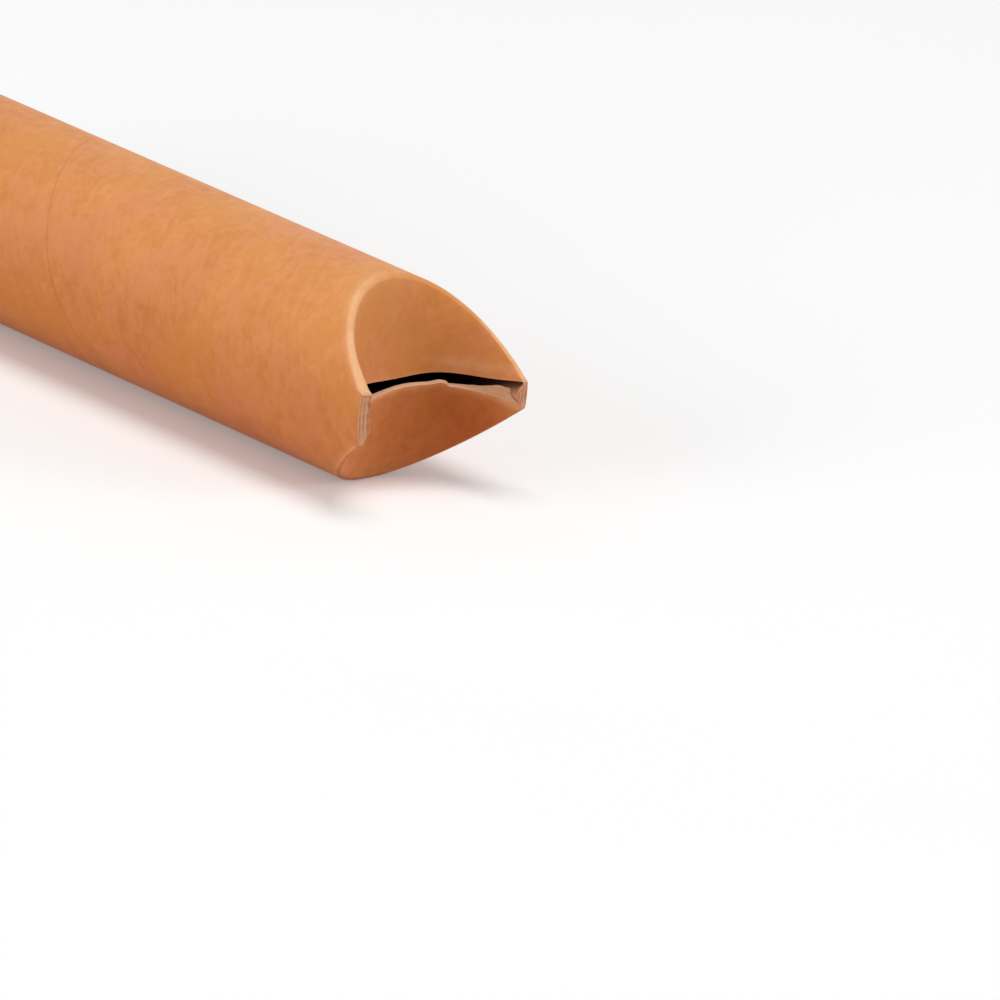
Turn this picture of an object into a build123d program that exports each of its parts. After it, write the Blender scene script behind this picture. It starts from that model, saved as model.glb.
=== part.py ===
from build123d import *
import os

# A closed mailing tube, wound from kraft paperboard and lying on its side. Millimetres.
# X runs along the tube and Z is up. The origin is under the middle of the tube, on the surface
# that it lies on. Each end is shut by two flaps that are the tube's own wall, creased along a
# curve and pressed in, so the whole tube is one piece of board.

# The wound tube
bore = 50.8
wall = 1.6
length = 304.8
rest_width = 6.0

# The creases at each end: how far above or below the tube's axis each one reaches the cut edge,
# on the side at -Y and on the side at +Y, and how far behind the cut edge its middle lies
upper_crease_start = 5.5
upper_crease_stop = 3.4
upper_crease_depth = 26.1
lower_crease_start = -7.8
lower_crease_stop = -3.6
lower_crease_depth = 27.1
crease_rounding = 1.6
crease_tolerance = 0.001

radius = bore / 2 + wall
axis_height = (radius**2 - (rest_width / 2) ** 2) ** 0.5
half_length = length / 2


def on_cut_edge(side, height):
    """A point on the outside of the tube at its cut edge, on one side, by its height over the axis."""
    return Vector(half_length, side * (radius**2 - height**2) ** 0.5, height)


def crease_plane(start, stop, depth, up):
    """The plane whose cut through the wall is the crease. Its normal points out of the tube's end."""
    first = on_cut_edge(-1, start)
    last = on_cut_edge(1, stop)
    middle = Vector(half_length - depth, 0, up * radius)
    normal = (last - first).cross(middle - first).normalized()
    if normal.X < 0:
        normal = -normal
    return Plane(origin=first, x_dir=last - first, z_dir=normal)


def press_in(board, plane):
    """Pushes the wall beyond the crease into the tube.

    Board bends but doesn't stretch, so along a crease that lies in one plane the wall snaps
    through into its own mirror image in that plane.
    """
    body = board.split(plane, keep=Keep.BOTTOM)
    flap = board.split(plane, keep=Keep.TOP).mirror(plane)
    return body + flap


def lies_in(edge, plane):
    heights = [plane.to_local_coords(edge @ share).Z for share in (0, 0.5, 1)]
    return max(abs(height) for height in heights) < crease_tolerance


def is_outside(edge):
    middle = edge @ 0.5
    return (middle.Y**2 + middle.Z**2) ** 0.5 > radius - wall / 4


def round_fold(board, plane):
    """Rounds the outside of the board where it turns over at a crease."""
    folds = [edge for edge in board.edges() if lies_in(edge, plane) and is_outside(edge)]
    return board.fillet(crease_rounding, folds)


# The tube is wound and cut square, then both flaps are pressed in at one end
round_wall = Circle(radius) - Circle(bore / 2)
half_tube = extrude(Plane.YZ * round_wall, half_length)
upper = crease_plane(upper_crease_start, upper_crease_stop, upper_crease_depth, 1)
lower = crease_plane(lower_crease_start, lower_crease_stop, lower_crease_depth, -1)
half_tube = press_in(press_in(half_tube, upper), lower)

# The underside is pressed a little flat where the tube lies
under = Box(half_length, bore, wall, align=(Align.MIN, Align.CENTER, Align.MAX))
half_tube -= Pos(0, 0, -axis_height) * under

# The folds are rounded, and the other end is closed the same way
half_tube = round_fold(round_fold(half_tube, upper), lower)
half_tube = Pos(0, 0, axis_height) * half_tube
tube = half_tube + half_tube.mirror(Plane.YZ)

os.makedirs("parts", exist_ok=True)
export_step(tube, "parts/mailing_tube.step")
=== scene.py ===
from math import atan2, cos, pi, radians, sin

import bmesh
import bpy
import numpy as np
from mathutils import Matrix, Vector


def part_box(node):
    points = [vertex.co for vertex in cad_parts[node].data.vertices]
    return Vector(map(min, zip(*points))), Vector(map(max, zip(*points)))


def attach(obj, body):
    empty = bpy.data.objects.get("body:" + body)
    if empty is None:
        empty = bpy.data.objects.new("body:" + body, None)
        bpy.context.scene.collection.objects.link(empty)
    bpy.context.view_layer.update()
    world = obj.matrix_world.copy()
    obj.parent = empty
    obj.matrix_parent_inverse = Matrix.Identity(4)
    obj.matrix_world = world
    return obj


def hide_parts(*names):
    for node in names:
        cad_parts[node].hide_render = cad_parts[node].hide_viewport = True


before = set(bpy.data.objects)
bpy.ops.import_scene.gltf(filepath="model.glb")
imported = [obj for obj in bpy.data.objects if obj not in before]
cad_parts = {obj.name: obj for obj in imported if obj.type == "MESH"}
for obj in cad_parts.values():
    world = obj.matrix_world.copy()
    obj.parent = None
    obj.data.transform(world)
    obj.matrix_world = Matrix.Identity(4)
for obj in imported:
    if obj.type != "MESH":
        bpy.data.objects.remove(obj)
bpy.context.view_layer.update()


# The tube. Plies of kraft paper are wound round in a spiral and glued into one wall, which is cut
# square at both ends and pressed a little flat along the strip that it lies on. The flaps that
# close it are the same wall, creased along two curves and pressed in.
tube_low, tube_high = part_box("mailing_tube")
half_length = (tube_high.x - tube_low.x) / 2
radius = min(tube_high.y, -tube_low.y)
axis_height = tube_high.z - radius
wall = 0.0016
bore_radius = radius - wall
ply_count = 4
full_turn = 2 * pi
underside = -pi / 2


# The end at +X is made first. As one faces it, left is -Y and right is +Y. Each of its two creases
# lies in a slanted plane.
def crease_plane(left_height, right_height, depth, over):
    """A point in a crease's plane, and its normal, which points out of the end. The crease leaves
    the cut edge at two heights from the axis, and its middle, over or under the axis, lies back by
    the depth."""
    leftmost = np.array((half_length, -((radius**2 - left_height**2) ** 0.5), left_height))
    rightmost = np.array((half_length, (radius**2 - right_height**2) ** 0.5, right_height))
    middle = np.array((half_length - depth, 0, over * radius))
    normal = np.cross(rightmost - leftmost, middle - leftmost)
    normal *= np.sign(normal[0]) / np.linalg.norm(normal)
    return leftmost, normal


planes = [
    crease_plane(left_height=0.0055, right_height=0.0034, depth=0.0261, over=1),
    crease_plane(left_height=-0.0078, right_height=-0.0036, depth=0.0271, over=-1),
]


def crease_meets(angle, ring):
    """How far along the tube a straight line in the wall meets each crease's plane. The line is
    given by its angle round the axis and its distance from it."""
    y = ring * np.cos(angle)
    z = ring * np.sin(angle)
    return np.array([p[0] - (n[1] * (y - p[1]) + n[2] * (z - p[2])) / n[0] for p, n in planes])


def ease(low, high, value):
    """0 up to low and 1 from high, with a smooth change between them."""
    share = np.clip((value - low) / (high - low), 0, 1)
    return share * share * (3 - 2 * share)


def fade(distance, reach):
    """1 at no distance, and almost 0 at twice the reach."""
    return np.exp(-((distance / reach) ** 2))


# Straight lines run along the wall at even steps round it, with one more wherever a crease leaves
# the cut edge
lines_round = 500
least_step = 0.002
tip_search_steps = 7200


def crease_tips(ring):
    """The angles at which the creases leave the cut edge, from the underside round by the right."""
    fine = np.linspace(underside, underside + full_turn, tip_search_steps)
    pressed = (crease_meets(fine, ring) < half_length).any(axis=0)
    change = np.nonzero(pressed[1:] != pressed[:-1])[0]
    return (fine[change] + fine[change + 1]) / 2


tips = crease_tips(radius)
exact = np.concatenate([tips, crease_tips(bore_radius)])
even = np.linspace(underside, underside + full_turn, lines_round, endpoint=False)
clear = np.abs(even[:, None] - exact).min(axis=1) > least_step
angle = np.sort(np.concatenate([even[clear], exact]))
line_count = len(angle)

# How far to the left or right each line lies, from -1 to 1
side = np.cos(angle)

# A line turns over at the crease that it meets first, or stands as it was cut
folded_reach = 0.0012
meets = crease_meets(angle, radius)
own = np.argmin(meets, axis=0)
upper = own == 0
every = np.arange(line_count)
plane_point = np.array([point for point, normal in planes])[own]
plane_normal = np.array([normal for point, normal in planes])[own]
fold_outer = np.minimum(meets[own, every], half_length)
flap_outer = half_length - fold_outer
standing = flap_outer <= 0
folded = ease(0, folded_reach, flap_outer)

# Where the cut edge stands, its plies have opened into the bore, but not at the creases' tips. Only
# at the upper crease's left tip, the third one round, they are open too.
opened = np.where(side < 0, 0.0023, 0.0014)
closed_reach = 0.003
tip_open_share = 0.75
tip_open_reach = np.where(standing, 0.003, 0.008)
ragged_share = 0.05
ragged_knots = 150
knots = np.linspace(underside, underside + full_turn, ragged_knots)
chance = np.random.default_rng(seed=11)
upper_left_tip = tips[2]
from_tip = np.abs(angle[:, None] - tips).min(axis=1) * radius
tip_opening = tip_open_share * (side < 0) * fade((angle - upper_left_tip) * radius, tip_open_reach)
opening = np.maximum(np.where(standing, ease(0, closed_reach, from_tip), 0), tip_opening)
ragged = np.interp(angle, knots, chance.uniform(-1, 1, len(knots)))
open_inward = opening * opened * (1 - ragged_share + ragged_share * ragged)

# The board is pinched to a share of its thickness where it turns over, but not at the tips
pinch = 0.6
unpinched_reach = 0.014
pinch_fade = 0.006
fold_ring = bore_radius + wall * (1 - pinch) * ease(0, unpinched_reach, flap_outer) - open_inward
fold_inner = np.minimum(crease_meets(angle, fold_ring)[own, every], half_length)
flap_inner = half_length - fold_inner

# A crease is paler where it stands proud, partly rubbed and partly painted highlight: the upper one
# is rubbed down its left side and has a painted highlight at its right tip, and the lower one is
# paler mostly at its left, where painted light also lifts the shade of its fold
# The last term paints a highlight at the upper crease's right tip
upper_rub_and_highlight = (
    1
    - 0.85 * ease(-0.6, 0.1, side)
    - 0.15 * ease(0.1, 0.4, side)
    + 0.8 * ease(0.74, 0.9, side)
)
lower_rub_and_highlight = 0.15 + 0.75 * ease(0.3, 0.8, -side)
fold_rub_and_highlight = folded * np.where(upper, upper_rub_and_highlight, lower_rub_and_highlight)
rub_and_highlight_reach = 0.001
rub_and_highlight_on_flap = 0.2
rub_and_highlight_flap_reach = 0.0008


def on_wall(along, ring):
    """The point on each line at a place along the tube and a distance from its axis."""
    along = np.broadcast_to(along, (line_count,))
    return np.stack([along, ring * np.cos(angle), ring * np.sin(angle)], axis=1)


def pressed_in(points):
    """Points beyond a crease go to their mirror image in its plane."""
    beyond = np.sum((points - plane_point) * plane_normal, axis=1, keepdims=True)
    return points - 2 * np.maximum(beyond, 0) * plane_normal


rows = []


def add_row(points, wound, cut=0, rub_and_highlight=0, across=0, inner=0):
    """A ring of points, where they lay on the straight tube, and what the board shows there: its
    cut edge, a crease's rub and painted highlight, the way across its thickness, or the tube's
    inside."""
    shown = {"cut": cut, "rub_and_highlight": rub_and_highlight, "across": across, "inner": inner}
    for name, value in shown.items():
        shown[name] = np.broadcast_to(value, (line_count,)).astype(float)
    rows.append({"points": points, "wound": wound, **shown})


# The outside, from the tube's middle to the crease, which is crisper from the top to the right than
# at the left. The rings crowd towards it.
outside_rows = 20
outside_crowding = 1.6
soft_rounding = 0.0008
crisp_rounding = 0.0003
edge_rounding = 0.00015
short_flap_share = 0.6
rounding = soft_rounding + (crisp_rounding - soft_rounding) * ease(-0.6, 0.3, side)
fold_start = fold_outer - np.minimum(rounding, short_flap_share * flap_outer + edge_rounding)
for step in range(outside_rows):
    along = fold_start * (1 - (1 - step / outside_rows) ** outside_crowding)
    row_rub_and_highlight = fold_rub_and_highlight * fade(fold_start - along, rub_and_highlight_reach)
    add_row(on_wall(along, radius), on_wall(along, radius), rub_and_highlight=row_rub_and_highlight)


def on_flap(way_down):
    """Points on the flap's face, by their way from the crease. They lie on the mirrored bore."""
    swell = (fold_ring - bore_radius) * np.exp(-way_down / pinch_fade)
    points = pressed_in(on_wall(fold_inner + way_down, bore_radius + swell))
    return np.where((flap_inner > 0)[:, None], points, on_wall(fold_inner, fold_ring))


# Over the crease on a smooth curve, or across the cut edge where no crease is. There the plies end
# unevenly, and the glue between them lies a little deeper.
fold_rows = 25
ply_set_back = 0.00012
ply_wander = 0.00004
ply_step = 0.00006
ply_waves = (23, 57, 131)
glue_dip = 0.0002
flap_start = np.minimum(rounding, flap_inner / 2)
fold_corners = (
    on_wall(fold_start, radius),
    on_wall(fold_outer, radius),
    on_wall(fold_inner, fold_ring),
    on_flap(flap_start),
)
ply_ends = [np.zeros(line_count)]
for ply in range(1, ply_count):
    phases = chance.uniform(0, full_turn, len(ply_waves))
    wander = sum(np.sin(angle * wave + phase) for wave, phase in zip(ply_waves, phases))
    ply_ends.append(standing * opening * (ply_set_back + ply_wander * wander + ply_step * ply))
for step in range(fold_rows):
    share = step / (fold_rows - 1)
    rest = 1 - share
    pulls = (rest**3, 3 * share * rest**2, 3 * share * share * rest, share**3)
    points = sum(pull * corner for pull, corner in zip(pulls, fold_corners))
    plies_crossed = share * ply_count
    ply = min(int(plies_crossed), ply_count - 1)
    glue = round(plies_crossed)
    rows_from_glue = abs(plies_crossed - glue) * (fold_rows - 1) / ply_count
    dip = glue_dip * max(0, 1 - rows_from_glue) if 0 < glue < ply_count else 0
    points[:, 0] -= ply_ends[ply] + dip * opening * standing
    wound = on_wall(fold_start + (fold_inner + flap_start - fold_start) * share, radius)
    row_rub_and_highlight = fold_rub_and_highlight * (1 - (1 - rub_and_highlight_on_flap) * ease(0.55, 1, share))
    add_row(points, wound, cut=(1 - folded) * (step > 0), rub_and_highlight=row_rub_and_highlight, across=ease(0, 1, share))

# Down the flap to its free edge. The upper flap's edge has bowed where it met the lower one and
# turned back at its sides. The lower flap's edge sags, with a small bump that ends in a nick.
flap_rows = 14
flap_crowding = 1.5
edge_return = 0.0008
edge_bow = 0.00175
bow_side = 0.53
bow_width = 0.37
edge_sag = 0.0009
sag_side = -0.12
sag_width = 0.3
edge_bump = 0.0008
bump_angle = radians(-57)
bump_width = radians(5)
bump_top = radians(3)
short_flap_reach = 0.012
flap_way = np.array([(1, 0, 0) - 2 * normal[0] * normal for point, normal in planes])[own]
upper_bow = edge_return - edge_bow * fade(side - bow_side, bow_width)
lower_bow = -edge_sag * fade(side - sag_side, sag_width)
past_bump = angle - bump_angle
lower_bow += edge_bump * fade(past_bump, bump_width) * ease(bump_width, bump_top, past_bump)
bow = np.where(upper, upper_bow, lower_bow) * ease(0, short_flap_reach, flap_inner)
bow = bow[:, None] * flap_way

# The upper flap's edge has a painted highlight at the right, where it curls, and a faint painted
# highlight all along it; the lower flap's edge is pale in a wider band
curl_highlight = np.where(upper, 0.55 * ease(0.35, 0.65, side), 0)
curl_place = 0.0028
curl_width = 0.0018
edge_rub_and_highlight = np.where(upper, 0.3, 0.95)
edge_rub_and_highlight_reach = np.where(upper, 0.0005, 0.0011)
for step in range(1, flap_rows + 1):
    share = 1 - (1 - step / flap_rows) ** flap_crowding
    way_down = flap_start + (flap_inner - flap_start) * share
    row_rub_and_highlight = fold_rub_and_highlight * rub_and_highlight_on_flap * fade(way_down - flap_start, rub_and_highlight_flap_reach)
    row_rub_and_highlight += curl_highlight * fade(flap_inner - way_down - curl_place, curl_width)
    row_rub_and_highlight += edge_rub_and_highlight * fade(flap_inner - way_down, edge_rub_and_highlight_reach)
    points = on_flap(way_down) + bow * share**2
    add_row(points, on_wall(fold_inner + way_down, radius), rub_and_highlight=row_rub_and_highlight)

# Across the flap's free edge, as far as it stands clear of the wall. Near the right corner the
# lower flap's inner plies have split from the outer one and stand up behind it.
edge_rows = 12
hidden_in_wall = 0.0003
smallest_gap = 1e-9
splayed = 0.0031
splay_angle = radians(-18)
splay_width = radians(18)
splay_start = 0.0003
splay_curve = 0.8
fray_share = 0.12
split_share = 0.25
rows_in_ply = edge_rows // ply_count
edge_front = rows[-1]["points"]
edge_back = pressed_in(on_wall(half_length, radius))
edge_back = np.where((flap_outer > 0)[:, None], edge_back, on_flap(flap_start)) + bow
ring_front = np.hypot(edge_front[:, 1], edge_front[:, 2])
ring_back = np.hypot(edge_back[:, 1], edge_back[:, 2])
hidden_ring = bore_radius + hidden_in_wall
clear_share = (hidden_ring - ring_front) / np.maximum(ring_back - ring_front, smallest_gap)
clear_share = np.where(ring_back > hidden_ring, np.clip(clear_share, 0, 1), 1)
clear_share = np.where(flap_inner > 0, clear_share, 0)
edge_back = edge_front + (edge_back - edge_front) * clear_share[:, None]
splay = np.where(upper, 0, splayed * fade(angle - splay_angle, splay_width))
splay *= ease(0, splay_start, flap_inner)
frays = chance.uniform(-1, 1, (ply_count, len(knots)))
for step in range(1, edge_rows + 1):
    share = step / edge_rows
    ply = min(int(share * ply_count), ply_count - 1)
    fray = fray_share * np.interp(angle, knots, frays[ply])
    rise = splay * (share**splay_curve + fray * share)
    rise -= splay * split_share * (step % rows_in_ply == 0 and step < edge_rows)
    points = edge_front + (edge_back - edge_front) * share + rise[:, None] * flap_way
    add_row(points, on_wall(half_length + rise, radius), cut=1, across=share)

# Back up the flap's hidden side to the inside of the fold, where opened plies show torn paper for
# a little way
back_rows = 6
open_depth = 0.009
steepest = 0.9999
least_turn = 0.05
wound_back = 0.1
torn = standing * opening * np.where(side > 0, 1 - 0.8 * ease(-0.04, 0.06, angle), 0.3)
slant = np.abs(np.sum(plane_normal * on_wall(0, 1), axis=1))
half_turn = np.arccos(np.clip(slant, 0, steepest))
overlap = wall / np.maximum(np.sin(2 * half_turn), least_turn)
bore_meets = np.minimum(crease_meets(angle, bore_radius)[own, every], half_length - edge_rounding)
bore_end = np.where(flap_inner > 0, fold_inner - np.minimum(overlap, flap_inner), half_length)
bore_end = np.minimum(bore_end, bore_meets) - open_depth * opening
hidden_edge = rows[-1]["points"]
inside_fold = on_wall(bore_end, bore_radius)
for step in range(1, back_rows + 1):
    share = step / back_rows
    points = hidden_edge + (inside_fold - hidden_edge) * share
    wound = on_wall(half_length * (1 - wound_back * share), radius)
    add_row(points, wound, cut=torn * (1 - share), inner=1)

# Along the bore to the tube's middle
bore_rows = 9
for step in range(1, bore_rows + 1):
    along = bore_end * (1 - step / bore_rows)
    add_row(on_wall(along, bore_radius), on_wall(along, radius), inner=1)

# The other half is the first one's mirror image, and shares its rings at the tube's middle
mirrored = (-1, 1, 1)
loop = list(rows)
for row in rows[-2:0:-1]:
    loop.append({**row, "points": row["points"] * mirrored, "wound": row["wound"] * mirrored})
position = np.concatenate([row["points"] for row in loop]) + (0, 0, axis_height)
position[:, 0] = np.clip(position[:, 0], -half_length, half_length)
position[:, 2] = np.maximum(position[:, 2], tube_low.z)
quads = []
for ring in range(len(loop)):
    here = ring * line_count
    there = (ring + 1) % len(loop) * line_count
    for line in range(line_count):
        beside = (line + 1) % line_count
        quads.append((here + line, here + beside, there + beside, there + line))
board_mesh = bpy.data.meshes.new("mailing_tube_board")
board_mesh.from_pydata(position.tolist(), [], quads)
for name in ("cut", "rub_and_highlight", "across", "inner"):
    values = np.concatenate([row[name] for row in loop]).astype(np.float32)
    board_mesh.attributes.new(name, "FLOAT", "POINT").data.foreach_set("value", values)
places = np.concatenate([row["wound"] for row in loop]).astype(np.float32).ravel()
board_mesh.attributes.new("wound", "FLOAT_VECTOR", "POINT").data.foreach_set("vector", places)

# Points that lie on each other, where the wall stands as it was cut, are welded
weld = 1e-7
sharp_angle = radians(50)
board = bmesh.new()
board.from_mesh(board_mesh)
bmesh.ops.remove_doubles(board, verts=board.verts, dist=weld)
bmesh.ops.dissolve_degenerate(board, edges=board.edges, dist=weld)
bmesh.ops.recalc_face_normals(board, faces=board.faces)
board.to_mesh(board_mesh)
board.free()
board_mesh.shade_smooth()
board_mesh.set_sharp_from_angle(angle=sharp_angle)
tube = bpy.data.objects.new("mailing_tube_board", board_mesh)
bpy.context.collection.objects.link(tube)
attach(tube, "root")
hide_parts("mailing_tube")


class Value:
    """What a socket in a material gives. A sum on it adds the Math nodes that work it out."""

    def __init__(self, finish, socket):
        self.finish = finish
        self.socket = socket

    def __add__(self, other):
        return self.finish.maths("ADD", self, other)

    def __radd__(self, other):
        return self.finish.maths("ADD", other, self)

    def __sub__(self, other):
        return self.finish.maths("SUBTRACT", self, other)

    def __rsub__(self, other):
        return self.finish.maths("SUBTRACT", other, self)

    def __mul__(self, other):
        return self.finish.maths("MULTIPLY", self, other)

    def __rmul__(self, other):
        return self.finish.maths("MULTIPLY", other, self)

    def __truediv__(self, other):
        return self.finish.maths("DIVIDE", self, other)

    def __rtruediv__(self, other):
        return self.finish.maths("DIVIDE", other, self)

    def __gt__(self, other):
        return self.finish.maths("GREATER_THAN", self, other)

    def __lt__(self, other):
        return self.finish.maths("LESS_THAN", self, other)


class Finish:
    """A material, or the world, and the one way in which it gets its nodes."""

    def __init__(self, owner):
        owner.use_nodes = True
        self.owner = owner
        self.tree = owner.node_tree
        self.tree.nodes.clear()

    def node(self, kind, settings=None, sockets=None, output=0):
        """A node with its settings first, such as a ramp's stops, and then its sockets' values."""
        made = self.tree.nodes.new(kind)
        for name, value in (settings or {}).items():
            if name == "stops":
                for element, (place, level) in zip(made.color_ramp.elements, value):
                    element.position = place
                    element.color = (level, level, level, 1)
            else:
                setattr(made, name, value)
        for name, value in (sockets or {}).items():
            if isinstance(value, Value):
                self.tree.links.new(value.socket, made.inputs[name])
            else:
                made.inputs[name].default_value = value
        return Value(self, made.outputs[output]) if made.outputs else None

    def maths(self, operation, first, second=0.0):
        return self.node("ShaderNodeMath", {"operation": operation}, {0: first, 1: second})

    def attribute(self, name, output="Fac"):
        return self.node("ShaderNodeAttribute", {"attribute_name": name}, output=output)

    def noise(self, vector, scale, detail, roughness=0.5, distortion=0.0):
        sockets = {
            "Vector": vector,
            "Scale": scale,
            "Detail": detail,
            "Roughness": roughness,
            "Distortion": distortion,
        }
        return self.node("ShaderNodeTexNoise", {}, sockets)

    def ramp(self, value, start, end):
        """From one level to another. Start and end each give a value and the level there."""
        return self.node("ShaderNodeValToRGB", {"stops": (start, end)}, {"Fac": value})

    def mix(self, share, first, second):
        """A colour between two. A Mix node has its colours at inputs 6 and 7 and at output 2."""
        return self.node("ShaderNodeMix", {"data_type": "RGBA"}, {0: share, 6: first, 7: second}, 2)

    def shows_background(self):
        """1 for the rays that show the background: the camera's, and those by gloss and glass."""
        rays = ("Is Camera Ray", "Is Glossy Ray", "Is Transmission Ray")
        camera, gloss, through = (self.node("ShaderNodeLightPath", output=ray) for ray in rays)
        return self.maths("MAXIMUM", camera, self.maths("MAXIMUM", gloss, through))


# Kraft paper. Its pulp is unbleached, so it is cloudy brown with fibres that lie round the tube,
# along the strip that it was wound from. It is paler where a crease has stretched and rubbed it,
# with painted highlights on creases and edges, and its inside is painted dark as shade.
kraft = Finish(bpy.data.materials.new("kraft_board"))
pale_kraft = (0.80, 0.330, 0.106, 1)
deep_kraft = (0.67, 0.240, 0.064, 1)
pink_kraft = (0.75, 0.274, 0.122, 1)
yellow_kraft = (0.755, 0.312, 0.074, 1)
# Paper rubbed pale, also the colour of the painted highlights
rub_and_highlight_kraft = (0.98, 0.57, 0.30, 1)
seam_kraft = (0.52, 0.17, 0.045, 1)
# Painted shade for the tube's inside, darker deeper in
painted_inner_shade = (0.24, 0.08, 0.024, 1)
painted_deep_shade = (0.06, 0.022, 0.010, 1)
cut_board = (0.94, 0.58, 0.36, 1)
torn_board = (0.724, 0.428, 0.264, 1)
glue_line = (0.40, 0.20, 0.12, 1)
cut = kraft.attribute("cut")
rub_and_highlight = kraft.attribute("rub_and_highlight")
across = kraft.attribute("across")
inner = kraft.attribute("inner")
wound_at = kraft.attribute("wound", output="Vector")
along, wound_y, wound_z = (
    kraft.node("ShaderNodeSeparateXYZ", {}, {"Vector": wound_at}, output=axis) for axis in "XYZ"
)

# How the outer strip of paper winds round the tube, and where its edges meet in the seam
strip_lead = 0.1
seam_place = -0.0015
fibre_stretch = 6.0
strip_slope = atan2(strip_lead, full_turn * radius)
turn = kraft.maths("ARCTAN2", wound_y, wound_z)
lane = (along + turn * (strip_lead / full_turn) + seam_place) / strip_lead
lane_place = kraft.maths("FRACT", lane)
seam_distance = kraft.maths("PINGPONG", lane, 0.5)
strip_across = lane * (strip_lead * cos(strip_slope))
strip_along = along * sin(strip_slope) - turn * (radius * cos(strip_slope))
stretched = kraft.node(
    "ShaderNodeCombineXYZ", {}, {"X": strip_across * fibre_stretch, "Y": strip_along}
)

# Clouds in the pulp, with fibres and streaks along the strip
broad = kraft.noise(wound_at, scale=26.0, detail=2.0)
cloud = kraft.noise(wound_at, scale=190.0, detail=4.0, roughness=0.6)
mottle = kraft.noise(wound_at, scale=480.0, detail=3.0, roughness=0.6)
fibre = kraft.noise(stretched, scale=420.0, detail=5.0, roughness=0.65)
streak = kraft.noise(stretched, scale=110.0, detail=3.0, roughness=0.55)
clouded = broad * 0.5 + cloud * 0.8 + mottle * 0.4 + fibre * 0.2 + streak * 0.3 - 0.59
tone = kraft.ramp(clouded, (0.32, 0.0), (0.70, 1.0))
surface = kraft.mix(tone, deep_kraft, pale_kraft)

# Pinker and yellower patches, and darker specks and scuffs
patch = kraft.noise(wound_at, scale=42.0, detail=2.0, distortion=0.4)
small_patch = kraft.noise(wound_at, scale=190.0, detail=2.0)
blush = patch * 0.65 + small_patch * 0.35
speck = kraft.noise(wound_at, scale=1500.0, detail=2.0)
scuff = kraft.noise(wound_at, scale=130.0, detail=3.0, roughness=0.6, distortion=0.5)
surface = kraft.mix(kraft.ramp(blush, (0.50, 0.0), (0.62, 0.6)), surface, pink_kraft)
surface = kraft.mix(kraft.ramp(blush, (0.38, 0.6), (0.50, 0.0)), surface, yellow_kraft)
surface = kraft.mix(kraft.ramp(speck, (0.66, 0.0), (0.74, 0.35)), surface, deep_kraft)
surface = kraft.mix(kraft.ramp(scuff, (0.67, 0.0), (0.76, 0.55)), surface, deep_kraft)

# The rub and painted highlight on the creases and edges are uneven, and the seam is faint and fades
# near the ends. A ramp runs from 0 to 1, so the depth from the end goes to it in decimetres or
# centimetres.
rub_and_highlight_strength = 0.85
rub_and_highlight_unevenness = kraft.ramp(cloud * 0.6 + speck * 0.4, (0.34, 0.6), (0.60, 1.0))
surface = kraft.mix(rub_and_highlight * rub_and_highlight_unevenness * rub_and_highlight_strength, surface, rub_and_highlight_kraft)
depth = half_length - kraft.maths("ABSOLUTE", along)
decimetres = depth * 10
centimetres = depth * 100
seam_line = kraft.ramp(seam_distance, (0.0, 1.0), (0.004, 0.0))
seam_shows = kraft.ramp(decimetres, (0.50, 0.0), (0.80, 0.5))
surface = kraft.mix(seam_line * seam_shows, surface, seam_kraft)

# The tube's inside is painted with shade: dark, and darker the deeper it lies
painted_inside_shade = kraft.mix(kraft.ramp(centimetres, (0.25, 0.0), (0.75, 1.0)), painted_inner_shade, painted_deep_shade)
surface = kraft.mix(inner, surface, painted_inside_shade)

# The cut edge is paler and fibrous, with a line of glue between each two plies
half_ply = 0.5 / ply_count
glue_strength = 0.35
between_plies = (across > half_ply) * (across < 1 - half_ply)
from_glue = kraft.maths("PINGPONG", across * ply_count, 0.5)
glue_shows = kraft.ramp(from_glue, (0.0, 1.0), (0.14, 0.0)) * between_plies
torn_fibres = kraft.noise(wound_at, scale=900.0, detail=3.0, roughness=0.6)
board_edge = kraft.mix(torn_fibres, torn_board, cut_board)
board_edge = kraft.mix(glue_shows * glue_strength, board_edge, glue_line)
surface = kraft.mix(cut, surface, board_edge)

# Paper has hardly any gloss, and least where it is cut and on the rubbed and painted-highlight
# bands of creases and edges. The strip stands a hair proud along its edge.
roughness = 0.66 - tone * 0.08 + rub_and_highlight * 0.08 + cut * 0.2
strip_edge = kraft.ramp(lane_place, (0.0, 0.0), (0.02, 0.6))
relief = cloud * 0.35 + fibre * 0.5 + speck * 0.15 + strip_edge
bump = kraft.node(
    "ShaderNodeBump", {}, {"Strength": 0.35, "Distance": 0.00012, "Height": relief}
)
paper = {
    "Base Color": surface,
    "Roughness": roughness,
    "Normal": bump,
    "Specular IOR Level": 0.3,
    "Sheen Weight": 0.06,
    "Sheen Roughness": 0.5,
}
shader = kraft.node("ShaderNodeBsdfPrincipled", {}, paper)
kraft.node("ShaderNodeOutputMaterial", {}, {"Surface": shader})
board_mesh.materials.append(kraft.owner)


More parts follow.
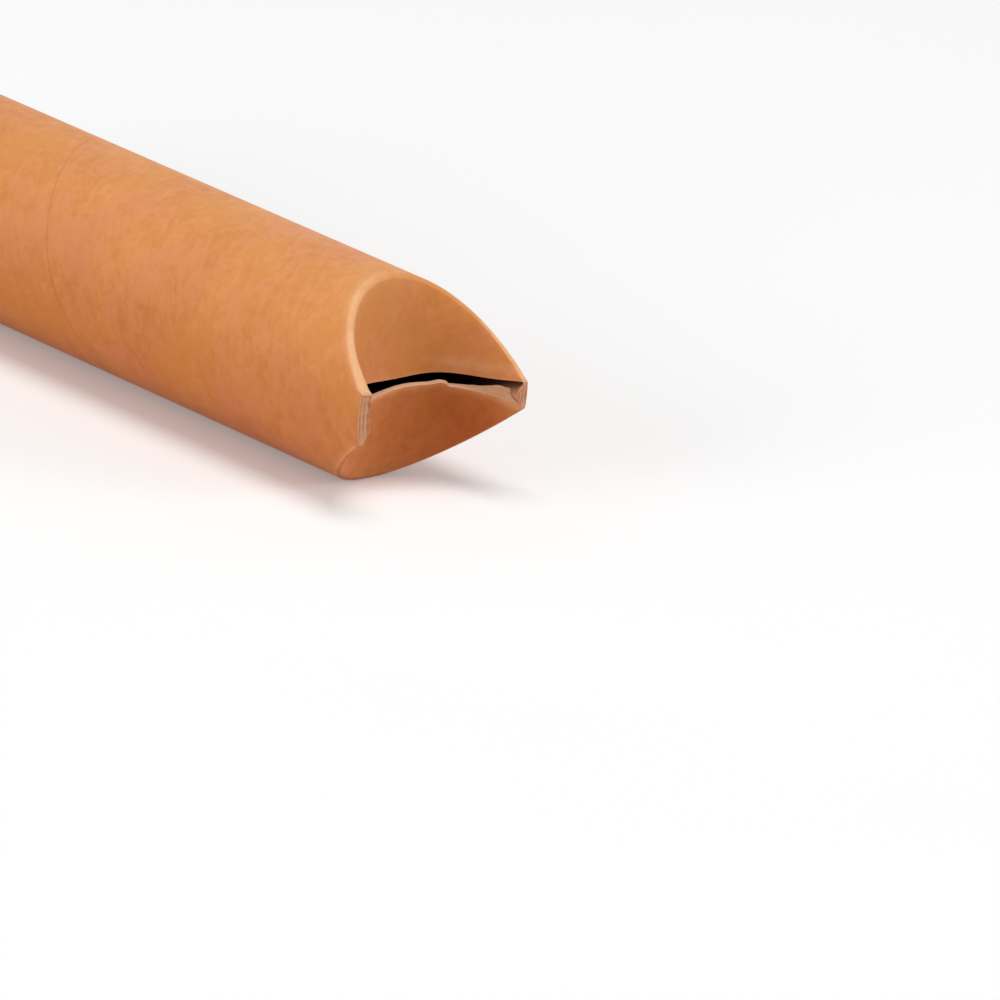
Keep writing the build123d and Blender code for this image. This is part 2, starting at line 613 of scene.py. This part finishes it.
# The plain pale table top that the tube lies on. To the camera it is nearly white, with hardly any
# grain. The light that it gives back to the board is kraft brown, which keeps the shade warm.
top_reach = 12.0
pale_top = (0.90, 0.90, 0.90, 1)
paler_top = (0.92, 0.92, 0.92, 1)
brown_bounce = (0.46, 0.21, 0.08, 1)
top_glow = (0.16, 0.16, 0.16, 1)
no_glow = (0, 0, 0, 1)
corners = [(-top_reach, -top_reach, 0), (top_reach, -top_reach, 0)]
corners += [(top_reach, top_reach, 0), (-top_reach, top_reach, 0)]
top_mesh = bpy.data.meshes.new("table_top")
top_mesh.from_pydata(corners, [], [(0, 1, 2, 3)])
top = bpy.data.objects.new("table_top", top_mesh)
bpy.context.collection.objects.link(top)
pale = Finish(bpy.data.materials.new("pale_table_top"))
grain = pale.noise(pale.node("ShaderNodeTexCoord", output="Object"), scale=6.0, detail=2.0)
shows = pale.shows_background()
matt = {
    "Base Color": pale.mix(shows, brown_bounce, pale.mix(grain, pale_top, paler_top)),
    "Emission Color": pale.mix(shows, no_glow, top_glow),
    "Emission Strength": 1.0,
    "Roughness": 0.8,
    "Specular IOR Level": 0.1,
}
top_shader = pale.node("ShaderNodeBsdfPrincipled", {}, matt)
pale.node("ShaderNodeOutputMaterial", {}, {"Surface": top_shader})
top_mesh.materials.append(pale.owner)


# The soft light of a studio: three round softboxes that face the tube from over, behind and in
# front of it, in a white room that lights it a little from all sides
softbox_size = 1.6
softbox_aim = (0.1, 0, 0.03)
room_light = 0.29
room_white = (1, 1, 1, 1)


def softbox(name, place, watts):
    light = bpy.data.lights.new(name, "AREA")
    light.shape = "DISK"
    light.size = softbox_size
    light.energy = watts
    lamp = bpy.data.objects.new(name, light)
    lamp.location = place
    lamp.rotation_euler = (Vector(softbox_aim) - Vector(place)).to_track_quat("-Z", "Y").to_euler()
    bpy.context.collection.objects.link(lamp)


softbox("overhead_softbox", place=(0.1, 0, 2.73), watts=34.5)
softbox("back_softbox", place=(1.94, 1.84, 0.77), watts=25)
softbox("front_softbox", place=(0.1, -2.62, 0.70), watts=29.5)

room = Finish(bpy.data.worlds.new("white_room"))
strength = room_light + room.shows_background() * (1 - room_light)
room_shader = room.node("ShaderNodeBackground", {}, {"Color": room_white, "Strength": strength})
room.node("ShaderNodeOutputWorld", {}, {"Surface": room_shader})
bpy.context.scene.world = room.owner


# The camera. It looks down on the closed end from its left side through a long lens, and is held a
# little off level.
azimuth = radians(49.45)
elevation = radians(16.52)
roll = radians(5.88)
distance = 3.448
lens_pixels = 13906
image_pixels = 1000
end_pixel = (443.3, 405.6)
sensor_mm = 36
clip_end = 60

back = Vector((sin(azimuth) * cos(elevation), -cos(azimuth) * cos(elevation), sin(elevation)))
level = Vector((cos(azimuth), sin(azimuth), 0))
upright = back.cross(level)
right = level * cos(roll) + upright * sin(roll)
up = upright * cos(roll) - level * sin(roll)
pixel = distance / lens_pixels
place = Vector((half_length, 0, axis_height)) + back * distance
place -= right * (end_pixel[0] - image_pixels / 2) * pixel
place += up * (end_pixel[1] - image_pixels / 2) * pixel
camera_data = bpy.data.cameras.new("camera")
camera_data.sensor_width = sensor_mm
camera_data.lens = lens_pixels * sensor_mm / image_pixels
camera_data.clip_end = clip_end
camera = bpy.data.objects.new("camera", camera_data)
camera.matrix_world = Matrix((
    (right.x, up.x, back.x, place.x),
    (right.y, up.y, back.y, place.y),
    (right.z, up.z, back.z, place.z),
    (0, 0, 0, 1),
))
bpy.context.collection.objects.link(camera)
bpy.context.scene.camera = camera
bpy.context.scene.view_settings.view_transform = "Standard"
